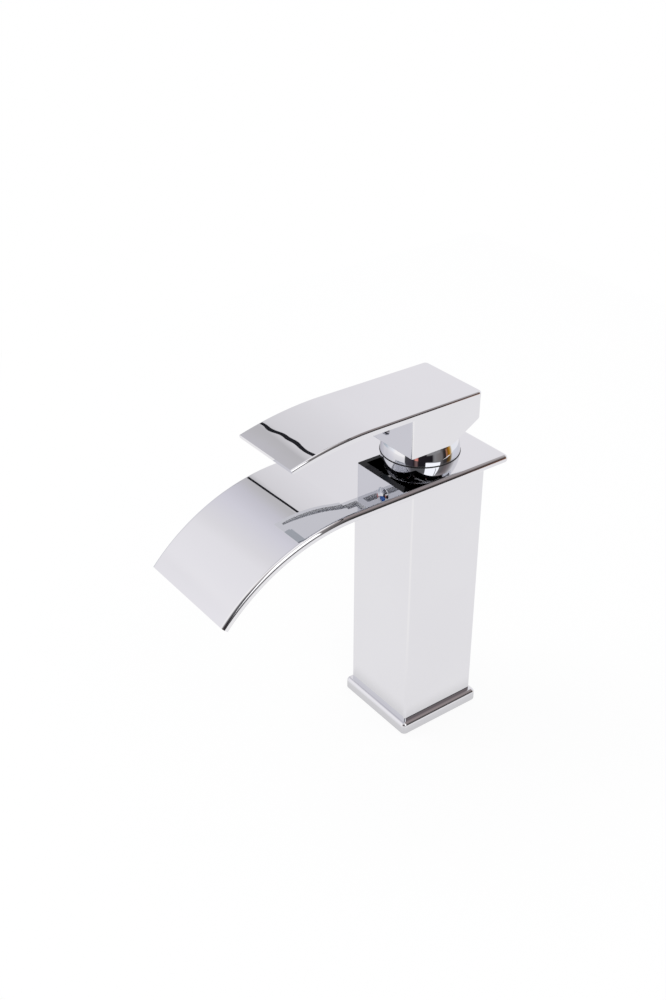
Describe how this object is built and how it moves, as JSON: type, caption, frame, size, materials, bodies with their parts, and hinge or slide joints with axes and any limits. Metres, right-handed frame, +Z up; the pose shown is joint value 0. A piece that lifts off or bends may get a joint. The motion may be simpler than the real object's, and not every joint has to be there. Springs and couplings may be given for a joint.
{
  "type": "basin mixer",
  "caption": "Chrome basin mixer: square column on a square foot, wide curved waterfall spout, domed collar, and a block handle with a thin curved lever that lifts and turns.",
  "frame": {"origin": "On the column's axis, in the plane that the foot's gasket stands on.", "axes": "+Z up the column. -Y is the front, where the spout and the lever point. +X is on the right of a user who faces the spout. The handle is stored down and in the middle, which is shut."},
  "size_m": [0.061, 0.1637, 0.1855],
  "materials": {
    "chrome_plate": "polished",
    "raw_brass": "satin",
    "black_rubber": "matte",
    "white_plastic": "satin",
    "grey_plastic": "satin",
    "white_ceramic": "satin",
    "plain_steel": "satin",
    "blue_mark": "gloss",
    "red_mark": "gloss"
  },
  "bodies": {
    "body": {"column_shell": "chrome_plate", "base_flange": "chrome_plate", "base_gasket": "black_rubber", "anchor_bridge": "raw_brass", "valve_body": "raw_brass", "cartridge_housing": "white_plastic", "cartridge_base": "white_plastic", "port_seals": "black_rubber", "fixed_disc": "white_ceramic", "retaining_nut": "raw_brass", "collar_dome": "chrome_plate", "collar_seal": "black_rubber", "spout_tray": "chrome_plate", "spout_cover": "chrome_plate"},
    "turret": {"stem_guide": "grey_plastic", "pivot_pin": "plain_steel"},
    "disc_slider": {"moving_disc": "white_ceramic", "disc_carrier": "grey_plastic"},
    "lever": {"lever_handle": "chrome_plate", "lever_stem": "raw_brass", "handle_screw": "plain_steel", "indicator_plug": "chrome_plate", "indicator_cold": "blue_mark", "indicator_hot": "red_mark"}
  },
  "joints": [
    {"name": "mix_swivel", "type": "hinge", "parent": "body", "child": "turret", "pos_m": [0, 0, 0.15235], "axis": [0, 0, 1], "range_deg": [-45, 45]},
    {"name": "lever_lift", "type": "hinge", "parent": "turret", "child": "lever", "pos_m": [0, 0, 0.15235], "axis": [-1, 0, 0], "range_deg": [0, 24]},
    {"name": "disc_slide", "type": "slide", "parent": "turret", "child": "disc_slider", "axis": [0, -1, 0], "range_m": [0, 0.00637]}
  ],
  "couplings": [
    {"joint": "disc_slide", "follows": "lever_lift", "m_per_rad": 0.015188}
  ]
}
